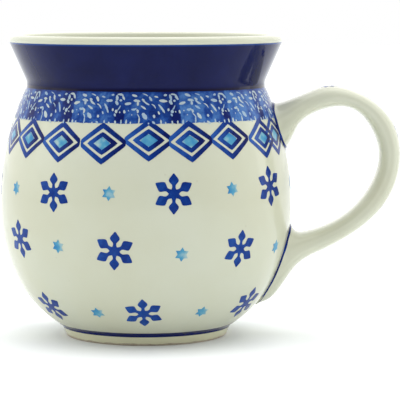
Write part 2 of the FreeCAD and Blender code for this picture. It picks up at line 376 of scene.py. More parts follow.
def filled(outline, step=0.9):
    """Fills a closed outline with triangles small enough to follow the clay."""
    count = len(outline)
    points = [Vector(p) for p in outline]
    low_u, high_u = min(p.x for p in points), max(p.x for p in points)
    low_v, high_v = min(p.y for p in points), max(p.y for p in points)
    for row, v in enumerate(np.arange(low_v, high_v, step * 0.87)):
        for u in np.arange(low_u + (row % 2) * step / 2, high_u, step):
            clear = min(math.hypot(u - p.x, v - p.y) for p in points[:count]) > step * 0.45
            if clear and inside_outline(u, v, outline):
                points.append(Vector((u, v)))
    edges = [(i, (i + 1) % count) for i in range(count)]
    found = delaunay_2d_cdt(points, edges, [], 1, 1e-5)
    flat = [tuple(p) for p in found[0]]
    faces = []
    for face in found[2]:
        a, b, c = (flat[i] for i in face[:3])
        area = (b[0] - a[0]) * (c[1] - a[1]) - (b[1] - a[1]) * (c[0] - a[0])
        faces.append(tuple(face) if area > 0 else tuple(reversed(face)))
    return flat, faces


def smooth_loop(controls, pieces):
    """A closed curve through control points."""
    count = len(controls)
    loop = []
    for i in range(count):
        p0, p1, p2, p3 = (np.array(controls[(i + k - 1) % count]) for k in range(4))
        for k in range(pieces):
            t = k / pieces
            loop.append(tuple(0.5 * (2 * p1 + (p2 - p0) * t + (2 * p0 - 5 * p1 + 4 * p2 - p3) * t * t
                                     + (3 * p1 - p0 - 3 * p2 + p3) * t**3)))
    return loop


# A snowflake's upright and slanted arms: half width and distance from the middle, from hub to tip
UPRIGHT_ARM = [
    (0.9, 1.25), (0.58, 2.0), (0.58, 2.8), (1.0, 3.3), (1.65, 4.15), (1.45, 5.0), (0.8, 5.8), (0.2, 6.6),
]
SLANTED_ARM = [
    (0.9, 1.3), (0.62, 2.1), (0.66, 2.8), (1.1, 3.4), (1.75, 4.3), (1.5, 5.1), (0.9, 5.95), (0.2, 6.8),
]


def snowflake(size=1.0):
    """Six stems round a small hub, each with a petal like a spade: wider ones on the slant."""
    controls = []
    for arm in range(6):
        turn = -math.radians(60 * arm)
        c, s = math.cos(turn), math.sin(turn)
        right = SLANTED_ARM if arm % 3 else UPRIGHT_ARM
        side = [(-x, y) for x, y in right] + [(x, y) for x, y in reversed(right)]
        for x, y in side:
            x, y = x * size, y * size
            controls.append((x * c - y * s, x * s + y * c))
    return filled(smooth_loop(controls, 2)[::-1])


def star(size):
    """A small six-pointed star with soft points, size from its middle to each."""
    controls = []
    for k in range(12):
        reach = size if k % 2 == 0 else size * 0.6
        turn = math.radians(30 * k)
        controls.append((reach * math.sin(turn), reach * math.cos(turn)))
    return filled(smooth_loop(controls, 2)[::-1], 0.7)


def lozenge(inner, outer, left=math.inf, right=math.inf):
    """A lozenge between two outlines, each a half width and half height, cut off at its left and right.

    With inner None it is filled.
    """
    around, across = 72, 3 if inner else 5
    points, faces = [], []
    for k in range(around):
        turn = 2 * math.pi * k / around
        c, s = abs(math.cos(turn)), abs(math.sin(turn))
        start = 1 / (c / inner[0] + s / inner[1]) if inner else 0.0
        blunt = 1 - 0.17 * max(0.0, 1 - 6 * min(c * outer[1] / outer[0], s)) / outer[1]
        end = blunt / (c / outer[0] + s / outer[1])
        limit = right if math.cos(turn) > 0 else left
        end = max(min(end, limit / max(c, 1e-6)), start + 0.05)
        for i in range(across + 1):
            reach = start + (end - start) * i / across
            points.append((reach * math.cos(turn), reach * math.sin(turn)))
    row = across + 1
    for k in range(around):
        here, there = k * row, (k + 1) % around * row
        for i in range(0 if inner else 1, across):
            faces.append((here + i, here + i + 1, there + i + 1, there + i))
    if not inner:
        faces.append(tuple(k * row + 1 for k in range(around)))
    return points, faces


def fleck(length, width, lean, bend):
    """A bare spot in the sponge print: a short bent lens."""
    points, faces = [], []
    count = 8
    c, s = math.cos(lean), math.sin(lean)
    for k in range(count + 1):
        t = k / count
        half = width / 2 * max(0.12, math.sin(math.pi * t) ** 0.4) * rng.uniform(0.8, 1.15)
        x = bend * math.sin(math.pi * t)
        y = (t - 0.5) * length
        for side in (-1, 1):
            edge = x + side * half
            points.append((edge * c - y * s, edge * s + y * c))
    for k in range(count):
        faces.append((2 * k, 2 * k + 1, 2 * k + 3, 2 * k + 2))
    return points, faces


# ---------------------------------------------------------------- the painted pattern

def ring_band(name, low, high, lift, material, rows, edge=None, tone=None, segments=480):
    """A band right round the vessel between two levels, with edge(angle) moving its lower edge."""
    decal = Decal(name, lift)
    bottom, top = along(low), along(high)
    for k in range(segments):
        turn = 2 * math.pi * k / segments
        start = bottom + (edge(turn) if edge else 0)
        for i in range(rows + 1):
            up = start + (top - start) * i / rows
            decal.top.append(place(turn, up, lift))
            decal.bottom.append(place(turn, up, lift - DECAL_DEPTH))
            decal.tones.append(tone(turn, (up - bottom) / (top - bottom)) if tone else 0.5)
    row = rows + 1
    for k in range(segments):
        here, there = k * row, (k + 1) % segments * row
        for i in range(rows):
            decal.faces.append((here + i, there + i, there + i + 1, here + i + 1))
    return decal.build(material)


# Marks of one print, across and up from its lower left: where it overlaps the next, a blob and a drip
OVERLAP_AT = 15.8
BLOB_AT = (17.0, 2.3)
DRIP_AT = (9.6, 4.5)


def sponge_part(turn):
    """Which print an angle falls in, and how far across it, in millimetres."""
    phase = (math.degrees(turn) - SPONGE_PHASE) / 360 * SPONGE_PRINTS
    return math.floor(phase) % SPONGE_PRINTS, (phase - math.floor(phase)) * PRINT_WIDTH


def bump(distance, reach):
    """1 at the middle of a spot, falling smoothly to 0 at its reach."""
    return max(0.0, 1 - (distance / reach) ** 2)


def sponge_tone(turn, height):
    """How much blue the sponge left: each print a little different, darkest where two overlap."""
    number, across = sponge_part(turn)
    up = height * (SPONGE_HIGH - SPONGE_LOW)
    ink = random.Random(number * 13 + 5).uniform(0.12, 0.62)
    overlap = 0.4 * bump(across - OVERLAP_AT, 3.6)
    bled = 0.5 * bump(SPONGE_HIGH - SPONGE_LOW - up, 1.0)
    blob = 0.5 * min(1.0, 1.6 * bump(math.hypot(across - BLOB_AT[0], up - BLOB_AT[1]), 2.2))
    drip = 0.22 * bump(math.hypot(across - DRIP_AT[0], (up - DRIP_AT[1]) / 2.2), 2.0)
    p = Vector((math.cos(turn) * 11, math.sin(turn) * 11, up * 0.25))
    mottle = 0.34 * noise.noise(p * 1.4) + 0.22 * noise.noise(p * 4.1)
    return max(0.0, min(1.0, ink + overlap + bled + blob + drip + mottle))


def sponge_edge(turn):
    """The scalloped lower edge of the sponge band."""
    p = Vector((math.cos(turn) * 12, math.sin(turn) * 12, 0.5))
    return 0.25 * noise.noise(p) + 0.2 * noise.noise(p * 3.1)


# Bare flecks of one sponge print: across and up from its lower left, length, width, lean and bend.
# A lean of 0 stands up and a positive one falls to the left at its top.
PRINT_FLECKS = [
    (3.2, 9.7, 2.0, 1.0, 68, 0.0), (6.8, 9.9, 2.2, 0.35, 68, 0.1), (10.5, 9.2, 1.3, 0.6, 75, 0.0),
    (13.7, 9.8, 1.1, 0.8, -75, 0.0), (15.2, 8.9, 2.2, 0.85, 2, 0.1), (16.5, 9.8, 2.3, 0.7, 80, 0.2),
    (17.5, 9.0, 1.9, 0.8, 28, 0.0), (8.4, 8.5, 2.0, 0.85, 24, 0.0), (6.1, 8.3, 1.1, 0.8, 60, 0.0),
    (4.0, 7.9, 2.1, 0.85, 85, 0.1), (4.2, 7.1, 1.7, 0.85, 0, 0.0), (12.8, 7.8, 2.6, 0.95, 86, 0.0),
    (16.6, 7.9, 0.9, 0.8, 0, 0.0), (15.3, 7.2, 1.6, 0.95, 30, 0.0), (6.8, 7.3, 2.8, 0.65, 47, -0.2),
    (1.0, 6.9, 2.2, 1.05, -78, 0.0), (9.4, 5.9, 2.3, 0.42, 45, 0.3), (6.2, 5.5, 2.4, 0.72, 56, 0.0),
    (12.0, 5.1, 3.5, 0.7, 28, 0.15), (16.2, 5.4, 1.9, 0.4, -33, 0.1), (14.2, 4.8, 1.1, 0.65, 0, 0.0),
    (3.1, 4.9, 1.9, 0.85, -80, 0.2), (4.0, 4.2, 1.6, 0.8, 8, 0.2), (15.5, 4.1, 1.4, 1.0, 0, 0.0),
    (18.0, 4.0, 1.4, 0.8, 12, 0.0), (16.6, 3.9, 0.6, 0.45, 30, 0.0), (11.0, 3.7, 1.2, 0.55, 25, 0.0),
    (15.1, 2.9, 1.0, 0.65, 25, 0.0), (4.5, 2.6, 1.8, 0.4, 32, 0.1), (6.4, 2.5, 2.8, 1.35, 36, 0.0),
    (9.4, 2.4, 1.1, 0.8, 5, 0.0), (2.3, 2.9, 0.5, 0.4, 0, 0.0), (1.3, 4.4, 0.5, 0.4, 40, 0.0),
    (0.6, 0.5, 1.7, 0.6, -6, 0.0), (1.9, 0.2, 1.0, 0.5, 4, 0.0), (4.7, 0.9, 2.3, 0.5, -6, 0.1),
    (9.4, 0.2, 1.5, 0.8, 42, 0.0), (11.7, 0.5, 1.6, 0.65, 6, 0.0), (13.2, 0.1, 0.8, 0.5, 0, 0.0),
    (15.2, 0.3, 1.3, 0.6, 4, 0.0), (17.1, 0.4, 1.5, 0.55, 0, 0.0), (7.6, 0.1, 0.7, 0.5, -10, 0.0),
]


def paint_sponge(materials):
    """The sponge band, with the same flecks left bare in each of its prints."""
    ring_band("sponge_band", SPONGE_LOW, SPONGE_HIGH, SPONGE_LIFT, materials["sponge"], 14,
              edge=sponge_edge, tone=sponge_tone, segments=720)
    decal = Decal("sponge_flecks", FLECK_LIFT)
    pitch = 360 / SPONGE_PRINTS
    start = along(SPONGE_LOW)
    for number in range(SPONGE_PRINTS):
        for across, up, length, width, lean, bend in PRINT_FLECKS:
            swell = rng.uniform(0.85, 1.12)
            shape = fleck(length * swell, width * rng.uniform(0.85, 1.12), math.radians(lean), bend)
            theta = SPONGE_PHASE + (number + (across + rng.uniform(-0.12, 0.12)) / PRINT_WIDTH) * pitch
            level = float(np.interp(start + up + rng.uniform(-0.12, 0.12), OUT_S, OUT_Z))
            decal.add(shape, on_vessel(theta, level, rng.uniform(-6, 6)), rng.uniform(0.2, 0.8))
    decal.build(materials["fleck"])


def all_round(front, count):
    """Angles of count prints: those set at the front, and the rest evenly over the gap."""
    gap = (front[0] + 360 - front[-1]) / (count - len(front) + 1)
    return list(front) + [front[-1] + gap * (k + 1) for k in range(count - len(front))]


def set_round(front, count):
    """Angle and rise of each of count prints: those set at the front, then the rest evenly."""
    thetas = all_round([theta for theta, _ in front], count)
    rises = [rise for _, rise in front]
    rises += [rng.uniform(-0.5, 0.5) for _ in range(count - len(front))]
    return zip(thetas, rises)


# Lozenges set at the front, as angle and rise
LOZENGE_FRONT = [
    (-72.0, 0.3), (-54.3, 0.0), (-35.1, -0.5), (-16.2, -0.6), (2.5, 0.5),
    (19.4, 0.0), (37.7, 0.4), (57.8, -0.1), (69.5, 0.2),
]
LOZENGE_COUNT = 19
LOZENGE_GAPS = (2, 6, 11, 15)  # the lozenges that stop short of the next one
LOZENGE_GAP = 0.3
LOZENGE_OVERLAP = 0.25  # how far the others run past the halfway line


def paint_lozenges(materials):
    """The row of lozenges under the sponge band, each printed by hand and so not quite even."""
    prints = list(set_round(LOZENGE_FRONT, LOZENGE_COUNT))
    per_degree = math.radians(outside_radius(along(LOZENGE_LEVEL)))
    blue, centre = Decal("lozenge_outlines", OUTLINE_LIFT), Decal("lozenge_centres", CENTRE_LIFT)
    meets = [-LOZENGE_GAP / 2 if k in LOZENGE_GAPS else LOZENGE_OVERLAP for k in range(LOZENGE_COUNT)]
    for k, (theta, rise) in enumerate(prints):
        before = (theta - prints[k - 1][0]) % 360 / 2 * per_degree
        after = (prints[(k + 1) % LOZENGE_COUNT][0] - theta) % 360 / 2 * per_degree
        level = LOZENGE_LEVEL + rise
        where = on_vessel(theta, level, rng.uniform(-1.2, 1.2), over=LOZENGE_STAGGER * (k % 2))
        ink = rng.uniform(0.4, 0.62)
        left, right = (max(gap, LOZENGE_REACH) for gap in (before + meets[k - 1], after + meets[k]))
        blue.add(lozenge(*LOZENGE_BAND, left, right), where, ink, 0.07)
        blue.add(lozenge(*LOZENGE_RING), where, ink + 0.05, 0.12)
        inner = on_vessel(theta + rng.uniform(-0.25, 0.25), level + rng.uniform(-0.12, 0.12))
        centre.add(lozenge(None, LOZENGE_CENTRE), inner, rng.uniform(0.3, 0.5), 0.09, 0.22)
    blue.build(materials["blue"])
    centre.build(materials["light_blue"])


# Rows of motifs: level, then snowflakes and stars. Each of these is set at the front, as angle and
# rise above the level, and has a count for the whole turn.
SNOW_ROWS = [
    (54.0, [(-88.0, -0.5), (-36.1, -0.4), (11.8, -0.1), (57.5, 0.5)], 7,
     [(-59.0, -0.3), (-12.6, 0.0), (36.0, 0.7), (84.0, 0.0)], 7),
    (34.5, [(-57.0, 2.0), (-10.7, 0.4), (40.4, -0.1), (93.0, 0.0)], 7,
     [(-34.5, 1.1), (15.1, -0.8), (64.4, -1.3)], 7),
    (13.0, [(-52.0, -0.1), (0.0, -0.2), (57.5, 0.8)], 6,
     [(-83.0, 0.0), (-22.6, -0.3), (29.0, -0.2)], 6),
]


def paint_snow(materials):
    """Snowflakes and stars alternate round each of three rows."""
    flakes, stars = Decal("snowflakes", MOTIF_LIFT), Decal("stars", MOTIF_LIFT)
    flake_shape, star_shape = snowflake(), star(STAR_REACH)
    for level, flake_front, flake_count, star_front, star_count in SNOW_ROWS:
        for theta, rise in set_round(flake_front, flake_count):
            where = on_vessel(theta, level + rise, rng.uniform(-4, 4), rng.uniform(0.97, 1.03))
            flakes.add(flake_shape, where, rng.uniform(0.3, 0.55), 0.02)
        for theta, rise in set_round(star_front, star_count):
            where = on_vessel(theta, level + rise, rng.uniform(-15, 15))
            stars.add(star_shape, where, 0.42, -0.16, 0.2)
    flakes.build(materials["blue"])
    stars.build(materials["light_blue"])


# ---------------------------------------------------------------- the handle

def spline(knots, values):
    """Natural cubic spline through values at knots, as a function."""
    x, y = np.array(knots), np.array(values, float)
    n = len(x)
    gaps = np.diff(x)
    system, right = np.eye(n), np.zeros(n)
    for i in range(1, n - 1):
        system[i, i - 1 : i + 2] = gaps[i - 1], 2 * (gaps[i - 1] + gaps[i]), gaps[i]
        right[i] = 6 * ((y[i + 1] - y[i]) / gaps[i] - (y[i] - y[i - 1]) / gaps[i - 1])
    bend = np.linalg.solve(system, right)

    def value(t):
        i = int(min(max(np.searchsorted(x, t) - 1, 0), n - 2))
        a, b, h = x[i + 1] - t, t - x[i], gaps[i]
        return (bend[i] * a**3 + bend[i + 1] * b**3) / (6 * h) + (y[i] / h - bend[i] * h / 6) * a \
            + (y[i + 1] / h - bend[i + 1] * h / 6) * b

    return value


class Strap:
    """The handle's surface: a rounded-rectangle section carried round its bow."""

    def __init__(self):
        outer = np.array([s[0] for s in HANDLE_STATIONS])
        inner = np.array([s[1] for s in HANDLE_STATIONS])
        centres = (outer + inner) / 2
        self.knots = np.concatenate([[0], np.cumsum(np.linalg.norm(np.diff(centres, axis=0), axis=1))])
        self.length = float(self.knots[-1])
        columns = [outer[:, 0], outer[:, 1], inner[:, 0], inner[:, 1], [s[2] for s in HANDLE_STATIONS]]
        self.curves = [spline(self.knots, column) for column in columns]

    def frame_at(self, t):
        ox, oz, ix, iz, width = (curve(t) for curve in self.curves)
        centre = np.array([(ox + ix) / 2, 0, (oz + iz) / 2])
        across = np.array([(ox - ix) / 2, 0, (oz - iz) / 2])
        return centre, across, np.array([0, -width / 2, 0])

    def point(self, t, turn):
        """turn 0 is the outer spine of the strap and a quarter turn is its -Y side."""
        centre, across, side = self.frame_at(t)
        power = 2 / STRAP_SQUARENESS
        c = math.copysign(abs(math.cos(turn)) ** power, math.cos(turn))
        s = math.copysign(abs(math.sin(turn)) ** power, math.sin(turn))
        return centre + across * c + side * s


def distance_to_vessel(points):
    """Signed distance from the vessel's outside, and the outward normal, for each point."""
    points = np.asarray(points)
    radial = np.hypot(points[:, 0], points[:, 1])
    line = np.stack([OUT_R, OUT_Z], 1)
    slope = np.gradient(line, axis=0)
    slope /= np.linalg.norm(slope, axis=1)[:, None]
    flat = np.stack([radial, points[:, 2]], 1)
    nearest = np.array([np.argmin(((line - p) ** 2).sum(1)) for p in flat])
    normal = np.stack([slope[nearest, 1], -slope[nearest, 0]], 1)
    signed = ((flat - line[nearest]) * normal).sum(1)
    sideways = points[:, :2] / radial[:, None] * normal[:, :1]
    outward = np.concatenate([sideways, normal[:, 1:]], 1)
    return signed, outward


FILLET = 1.3  # how far the clay is smoothed out on to the vessel at each root
FILLET_REACH = 1.3  # how quickly that dies away with the distance from the vessel
BURIED = 1.2  # how deep the roots run into the wall


def handle_rings(strap, around=64, step=0.8):
    """Rings of points along the strap, smoothed out on to the vessel and ended inside its wall."""
    rings = []
    for t in np.linspace(0, strap.length, round(strap.length / step)):
        centre = strap.frame_at(t)[0]
        ring = np.array([strap.point(t, 2 * math.pi * k / around) for k in range(around)])
        signed, outward = distance_to_vessel(ring)
        spread = ring - centre
        spread -= (spread * outward).sum(1)[:, None] * outward
        spread /= np.maximum(np.linalg.norm(spread, axis=1), 1e-6)[:, None]
        ring = ring + spread * (FILLET * np.exp(-np.clip(signed, 0, None) / FILLET_REACH))[:, None]
        signed, outward = distance_to_vessel(ring)
        ring = ring + outward * np.clip(-BURIED - signed, 0, None)[:, None]
        if signed.max() > -BURIED:
            rings.append(ring)
    return rings


def highlight_and_thin_glaze_streak(ring, turn):
    """Paler streaks along the strap: painted highlight lines, and glaze running thinner over the shallow
    ridges of a pulled handle.
    """
    fine = noise.noise(Vector((math.cos(turn) * 4.5, math.sin(turn) * 4.5, ring * 0.02)))
    broad = noise.noise(Vector((math.cos(turn) * 1.6, math.sin(turn) * 1.6, ring * 0.05 + 7.0)))
    return max(0.0, min(1.0, 0.5 + 0.9 * fine + 0.4 * broad))


def handle_mesh(strap, material):
    """The handle as one closed mesh; its rings serve the lines at its roots."""
    rings = handle_rings(strap)
    around = len(rings[0])
    points = [tuple(p) for ring in rings for p in ring]
    # Paler streaks along the strap, kept per point: painted highlight lines and thinner glaze.
    tones = [highlight_and_thin_glaze_streak(i, 2 * math.pi * k / around) for i in range(len(rings)) for k in range(around)]
    faces = []
    for i in range(len(rings) - 1):
        for k in range(around):
            a, b = i * around + k, i * around + (k + 1) % around
            faces.append((a, b, b + around, a + around))
    first, last = len(points), len(points) + 1
    points += [tuple(rings[0].mean(0)), tuple(rings[-1].mean(0))]
    tones += [0.5, 0.5]
    end = (len(rings) - 1) * around
    for k in range(around):
        following = (k + 1) % around
        faces.append((first, following, k))
        faces.append((last, end + k, end + following))
    piece = make_object("handle_strap", points, faces, material, tones)
    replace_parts(piece, "handle")
    return rings


ROOT_LINE_GAP = 0.08  # clear of the vessel, where the brushed line begins
ROOT_LINE_WIDTH = 0.85
TRACKS_PER_RADIAN = 10.2  # round the strap


def root_ribbon(rings, upper, rows=4):
    """Rows of (point, outward normal) across the brushed line round one root, track by track."""
    order = np.array(rings if upper else rings[::-1])[: len(rings) // 2]
    signed = distance_to_vessel(order.reshape(-1, 3))[0].reshape(order.shape[:2])
    around = np.roll(order, -1, axis=1) - np.roll(order, 1, axis=1)
    forward = np.gradient(order, axis=0)
    normals = np.cross(around, forward)
    normals /= np.linalg.norm(normals, axis=2)[:, :, None]
    outward = order - order.mean(axis=1)[:, None, :]
    normals *= np.sign((normals * outward).sum(axis=2))[:, :, None]
    ribbon = []
    for k in range(order.shape[1]):
        runs = np.concatenate([[0], np.cumsum(np.linalg.norm(np.diff(order[:, k], axis=0), axis=1))])
        out = int(np.argmax(signed[:, k] > ROOT_LINE_GAP))
        share = (ROOT_LINE_GAP - signed[out - 1, k]) / (signed[out, k] - signed[out - 1, k])
        start = runs[out - 1] + (runs[out] - runs[out - 1]) * share
        turn = k / TRACKS_PER_RADIAN
        width = ROOT_LINE_WIDTH * (1 + 0.3 * noise.noise(Vector((math.cos(turn) * 2, math.sin(turn) * 2, 3))))
        track = []
        for row in range(rows + 1):
            at = start + width * row / rows
            point = [float(np.interp(at, runs, order[:, k, axis])) for axis in range(3)]
            normal = [float(np.interp(at, runs, normals[:, k, axis])) for axis in range(3)]
            track.append((np.array(point), np.array(normal) / np.linalg.norm(normal)))
        ribbon.append(track)
    return ribbon


def paint_roots(rings, materials):
    """The blue line brushed round each root of the handle."""
    decal = Decal("handle_root_lines", LINE_LIFT)
    for upper in (True, False):
        ribbon = root_ribbon(rings, upper)
        base, row = len(decal.top), len(ribbon[0])
        for k, track in enumerate(ribbon):
            for point, normal in track:
                decal.top.append(tuple(point + normal * decal.lift))
                decal.bottom.append(tuple(point + normal * (decal.lift - DECAL_DEPTH)))
                decal.tones.append(0.78 + 0.25 * noise.noise(Vector((k * 0.3, row, 1.0))))
        first = ribbon[0]
        turn = np.cross(ribbon[1][0][0] - first[0][0], first[1][0] - first[0][0]) @ first[0][1]
        for k in range(len(ribbon)):
            here, there = base + k * row, base + (k + 1) % len(ribbon) * row
            for i in range(row - 1):
                face = (here + i, there + i, there + i + 1, here + i + 1)
                decal.faces.append(face if turn > 0 else tuple(reversed(face)))
    decal.build(materials["blue"], "clear_glaze")


SPINE_RATIO = 0.9  # length along the strap's middle line over that along its outer spine


def on_strap(strap, t_middle, tilt_deg):
    """Lays a flat shape on the strap's outer spine, v along it and u across it."""
    c, s = math.cos(math.radians(tilt_deg)), math.sin(math.radians(tilt_deg))

    def across_turn(t, u):
        turns = np.linspace(0, math.pi / 2, 40)
        side = np.array([strap.point(t, turn) for turn in turns])
        run = np.concatenate([[0], np.cumsum(np.linalg.norm(np.diff(side, axis=0), axis=1))])
        return math.copysign(float(np.interp(abs(u), run, turns)), u)

    def where(u, v, lift):
        u, v = c * u - s * v, s * u + c * v
        t = t_middle + v * SPINE_RATIO
        turn = across_turn(t, u)
        here = strap.point(t, turn)
        along_t = strap.point(t + 0.2, turn) - strap.point(t - 0.2, turn)
        round_t = strap.point(t, turn + 0.02) - strap.point(t, turn - 0.02)
        normal = np.cross(round_t, along_t)
        normal /= np.linalg.norm(normal)
        if normal @ strap.frame_at(t)[1] < 0:
            normal = -normal
        return tuple(here + normal * lift)

    return where


HANDLE_FIRST = 24.2  # distance along the strap of its first snowflake
HANDLE_PITCH = 12.6
HANDLE_MOTIFS = 6
HANDLE_FLAKE_SIZE = 0.55
HANDLE_STAR_REACH = 1.7


def paint_handle(strap, materials):
    """Small snowflakes and stars alternate down the handle's outer spine."""
    flakes, stars = (Decal(name, HANDLE_MOTIF_LIFT) for name in ("handle_snowflakes", "handle_stars"))
    flake_shape, star_shape = snowflake(HANDLE_FLAKE_SIZE), star(HANDLE_STAR_REACH)
    for k in range(HANDLE_MOTIFS):
        t = HANDLE_FIRST + HANDLE_PITCH * k
        if k % 2 == 0:
            flakes.add(flake_shape, on_strap(strap, t, rng.uniform(-6, 6)), rng.uniform(0.35, 0.6), 0.02)
        else:
            stars.add(star_shape, on_strap(strap, t, rng.uniform(-12, 12)), 0.42, -0.16, 0.2)
    flakes.build(materials["blue"], "clear_glaze")
    stars.build(materials["light_blue"], "clear_glaze")


# ---------------------------------------------------------------- materials

class Nodes:
    """Short names for building one material."""

    def __init__(self, name):
        self.material = bpy.data.materials.new(name)
        self.material.use_nodes = True
        self.tree = self.material.node_tree
        self.shader = self.tree.nodes["Principled BSDF"]
        self.place = self.tree.nodes.new("ShaderNodeTexCoord").outputs["Object"]

    def new(self, kind, **settings):
        node = self.tree.nodes.new(kind)
        for key, value in settings.items():
            setattr(node, key, value)
        return node

    def link(self, source, target):
        self.tree.links.new(source, target)

    def noise(self, scale, detail=3.0, rough=0.5, distortion=0.0):
        node = self.new("ShaderNodeTexNoise")
        node.inputs["Scale"].default_value = scale
        node.inputs["Detail"].default_value = detail
        node.inputs["Roughness"].default_value = rough
        node.inputs["Distortion"].default_value = distortion
        self.link(self.place, node.inputs["Vector"])
        return node.outputs["Fac"]

    def ramp(self, source, stops):
        node = self.new("ShaderNodeValToRGB")
        while len(node.color_ramp.elements) < len(stops):
            node.color_ramp.elements.new(0.5)
        for element, (position, colour) in zip(node.color_ramp.elements, stops):
            element.position = position
            element.color = (*colour, 1)
        self.link(source, node.inputs["Fac"])
        return node.outputs["Color"]

    def maths(self, operation, a, b, clamp=False):
        node = self.new("ShaderNodeMath", operation=operation, use_clamp=clamp)
        for value, socket in zip((a, b), node.inputs):
            if isinstance(value, (int, float)):
                socket.default_value = value
            else:
                self.link(value, socket)
        return node.outputs[0]

    def mix(self, factor, a, b):
        node = self.new("ShaderNodeMix", data_type="RGBA")
        for value, socket in ((factor, node.inputs[0]), (a, node.inputs[6]), (b, node.inputs[7])):
            if isinstance(value, tuple):
                socket.default_value = (*value, 1)
            elif isinstance(value, (int, float)):
                socket.default_value = value
            else:
                self.link(value, socket)
        return node.outputs[2]

    def height(self):
        """Height above the foot, in metres."""
        split = self.new("ShaderNodeSeparateXYZ")
        self.link(self.place, split.inputs[0])
        return split.outputs["Z"]

    def fade(self, start, end):
        """0 at one height above the foot and 1 at another, in millimetres."""
        fade = self.new("ShaderNodeMapRange")
        fade.inputs["From Min"].default_value = start * MM
        fade.inputs["From Max"].default_value = end * MM
        self.link(self.height(), fade.inputs["Value"])
        return fade.outputs["Result"]

    def tone(self):
        return self.new("ShaderNodeAttribute", attribute_name="tone").outputs["Fac"]

    def glaze(self, specular, low=0.07, high=0.16):
        """Glassy surface: faint waves where the glaze ran, and uneven gloss."""
        shader = self.shader
        shader.inputs["Specular IOR Level"].default_value = specular
        shader.inputs["IOR"].default_value = 1.5
        waves = self.noise(55, 2.0)
        ripple = self.maths("MULTIPLY", self.noise(420, 2.0), 0.10)
        bump = self.new("ShaderNodeBump")
        bump.inputs["Strength"].default_value = 0.25
        bump.inputs["Distance"].default_value = 0.0006
        self.link(self.maths("ADD", waves, ripple), bump.inputs["Height"])
        self.link(bump.outputs["Normal"], shader.inputs["Normal"])
        rough = self.new("ShaderNodeMapRange")
        rough.inputs["From Min"].default_value = 0.3
        rough.inputs["From Max"].default_value = 0.7
        rough.inputs["To Min"].default_value = low
        rough.inputs["To Max"].default_value = high
        self.link(self.noise(160, 4.0), rough.inputs["Value"])
        self.link(rough.outputs["Result"], shader.inputs["Roughness"])
        return self.material


CREAM = (0.56, 0.575, 0.446)
CREAM_WARM = (0.545, 0.552, 0.417)
CREAM_COOL = (0.572, 0.592, 0.476)
# Paler, warmer cream low on the foot: painted light that lifts the shade round the foot.
CREAM_FOOT_PAINTED_LIGHT = (0.66, 0.65, 0.455)
# Pale cream where glaze runs thinner; also painted highlight on the handle's streaks and the lip's crest.
CREAM_THIN_AND_HIGHLIGHT = (0.66, 0.67, 0.54)
CLAY = (0.50, 0.44, 0.34)
CLAY_DARK = (0.40, 0.34, 0.25)
IRON = (0.30, 0.24, 0.15)
# The lip's crest is paler: glaze thinner over the rim, and a painted highlight along the crest.
LIP_FADE = (104.1, 104.9)  # heights between which the glaze turns pale
FOOT_PAINTED_LIGHT_FADE = (4.2, 3.0)
BARE_LEVEL = 0.0013  # metres above the foot where the glaze stops, lowered in places by up to RAGGED
RAGGED = 0.0012
CREAM_SPECULAR = 0.35
PIGMENT_SPECULAR = 0.11


def cream_colour(nodes):
    """Cream glaze over pale clay: soft cloudiness and a few faint iron specks."""
    cloud = nodes.ramp(nodes.noise(28, 4.0), [(0.32, CREAM_WARM), (0.5, CREAM), (0.7, CREAM_COOL)])
    cells = nodes.new("ShaderNodeTexVoronoi")
    cells.inputs["Scale"].default_value = 210
    nodes.link(nodes.place, cells.inputs["Vector"])
    near = nodes.maths("LESS_THAN", cells.outputs["Distance"], 0.09)
    few = nodes.maths("GREATER_THAN", nodes.noise(95, 1.0), 0.6)
    speck = nodes.maths("MULTIPLY", nodes.maths("MULTIPLY", near, few), 0.13)
    return nodes.mix(speck, cloud, IRON)


def cream_glaze():
    """The handle's glaze, paler in streaks along the strap: painted highlight lines, with the glaze thinner
    over the handle's ridges.
    """
    nodes = Nodes("cream_glaze")
    # Paler streaks: painted highlight along the strap, with thinner glaze over its ridges.
    streak_highlight_and_thin_glaze = nodes.maths("MULTIPLY", nodes.tone(), 0.8)
    nodes.link(nodes.mix(streak_highlight_and_thin_glaze, cream_colour(nodes), CREAM_THIN_AND_HIGHLIGHT), nodes.shader.inputs["Base Color"])
    return nodes.glaze(CREAM_SPECULAR)


def vessel_glaze():
    """Cream glaze that stops just above the bottom of the foot, where bare clay shows."""
    nodes = Nodes("vessel_glaze")
    ragged = nodes.maths("MULTIPLY", nodes.noise(260, 3.0), RAGGED)
    level = nodes.maths("ADD", nodes.height(), ragged)
    bare = nodes.maths("LESS_THAN", level, BARE_LEVEL)
    clay = nodes.ramp(nodes.noise(700, 5.0), [(0.35, CLAY_DARK), (0.65, CLAY)])
    # Paler low on the foot: painted light lifting the shade there.
    glaze = nodes.mix(nodes.fade(*FOOT_PAINTED_LIGHT_FADE), cream_colour(nodes), CREAM_FOOT_PAINTED_LIGHT)
    # Paler at the lip's crest: thinner glaze over the rim and a painted highlight.
    glaze = nodes.mix(nodes.fade(*LIP_FADE), glaze, CREAM_THIN_AND_HIGHLIGHT)
    colour = nodes.mix(bare, glaze, clay)
    nodes.link(colour, nodes.shader.inputs["Base Color"])
    nodes.glaze(CREAM_SPECULAR)
    rough = nodes.maths("ADD", nodes.shader.inputs["Roughness"].links[0].from_socket,
                        nodes.maths("MULTIPLY", bare, 0.6))
    nodes.link(rough, nodes.shader.inputs["Roughness"])
    return nodes.material


